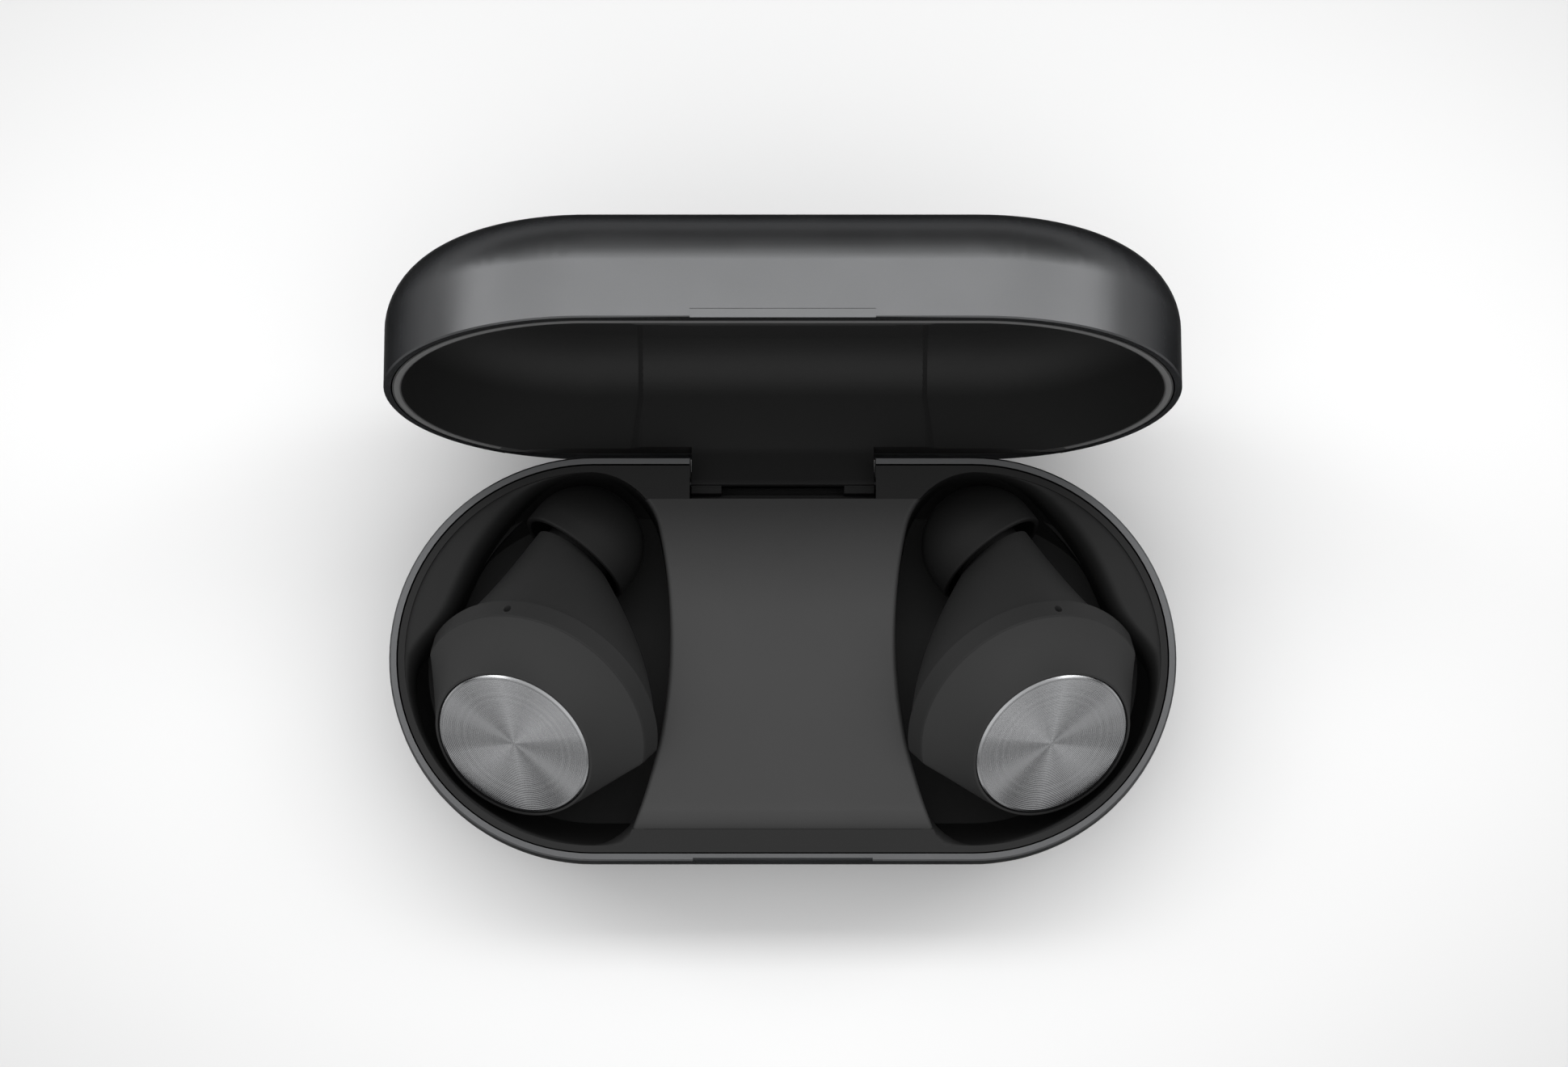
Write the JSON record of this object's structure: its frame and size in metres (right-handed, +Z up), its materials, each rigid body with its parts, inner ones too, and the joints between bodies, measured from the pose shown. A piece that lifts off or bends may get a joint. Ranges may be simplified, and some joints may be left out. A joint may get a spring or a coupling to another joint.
{
  "type": "wireless earbuds case",
  "caption": "Pill-shaped aluminium charging case with a hinged lid and a moulded tray that holds in-ear buds in form-fitted nests.",
  "frame": {"origin": "middle of the resting face, under the middle of the closed case", "axes": "+X to the right along the length, +Y to the rear where the hinge is, +Z up; the front faces -Y"},
  "size_m": [0.077, 0.0583, 0.0475],
  "materials": {
    "shell_alloy": "fine satin, anodised dark grey",
    "lining": "fine matte",
    "pad": "matte",
    "pin_steel": "ground",
    "copper": "varnished copper wire",
    "ferrite": "dull",
    "board": "solder mask",
    "cell_foil": "foil",
    "insulator": "moulded",
    "magnet": "nickel plated",
    "lens": "diffusing",
    "plate_alloy": "spun, polished bevel",
    "bud_polymer": "fine matte",
    "silicone": "soft matte",
    "mesh_steel": "woven",
    "gold": "gold plated",
    "driver": "stamped"
  },
  "bodies": {
    "base": {"base_shell": "shell_alloy", "bottom_pad": "pad", "base_tray": "lining", "saddle_cover": "lining", "hinge_pin": "pin_steel", "charging_coil": "copper", "ferrite_sheet": "ferrite", "main_board": "board", "board_screws": "pin_steel", "battery": "cell_foil", "port_shell": "pin_steel", "port_tongue": "insulator", "contact_blocks": "insulator", "well_magnets": "magnet", "base_magnets": "magnet", "status_lens": "lens"},
    "lid": {"lid_shell": "shell_alloy", "lid_liner": "lining", "lid_magnets": "magnet"},
    "left_bud": {"left_touch_plate": "plate_alloy", "left_outer_housing": "bud_polymer", "left_middle_ring": "bud_polymer", "left_inner_housing": "bud_polymer", "left_ear_tip": "silicone", "left_nozzle_mesh": "mesh_steel", "left_bud_contacts": "gold", "left_bud_cell": "cell_foil", "left_bud_board": "board", "left_bud_driver": "driver", "left_bud_magnet": "magnet"},
    "left_pins": {"left_contact_pins": "gold"},
    "right_bud": {"right_touch_plate": "plate_alloy", "right_outer_housing": "bud_polymer", "right_middle_ring": "bud_polymer", "right_inner_housing": "bud_polymer", "right_ear_tip": "silicone", "right_nozzle_mesh": "mesh_steel", "right_bud_contacts": "gold", "right_bud_cell": "cell_foil", "right_bud_board": "board", "right_bud_driver": "driver", "right_bud_magnet": "magnet"},
    "right_pins": {"right_contact_pins": "gold"}
  },
  "joints": [
    {"name": "lid_hinge", "type": "hinge", "parent": "base", "child": "lid", "pos_m": [0, 0.0179, 0.01055], "axis": [-1, 0, 0], "range_deg": [-99, 0]},
    {"name": "left_bud_lift", "type": "slide", "parent": "base", "child": "left_bud", "axis": [0, 0, 1], "range_m": [0, 0.03]},
    {"name": "left_pins_press", "type": "slide", "parent": "base", "child": "left_pins", "axis": [0, 0, 1], "range_m": [-0.0006, 0], "stiffness_N_per_m": 300},
    {"name": "right_bud_lift", "type": "slide", "parent": "base", "child": "right_bud", "axis": [0, 0, 1], "range_m": [0, 0.03]},
    {"name": "right_pins_press", "type": "slide", "parent": "base", "child": "right_pins", "axis": [0, 0, 1], "range_m": [-0.0006, 0], "stiffness_N_per_m": 300}
  ]
}
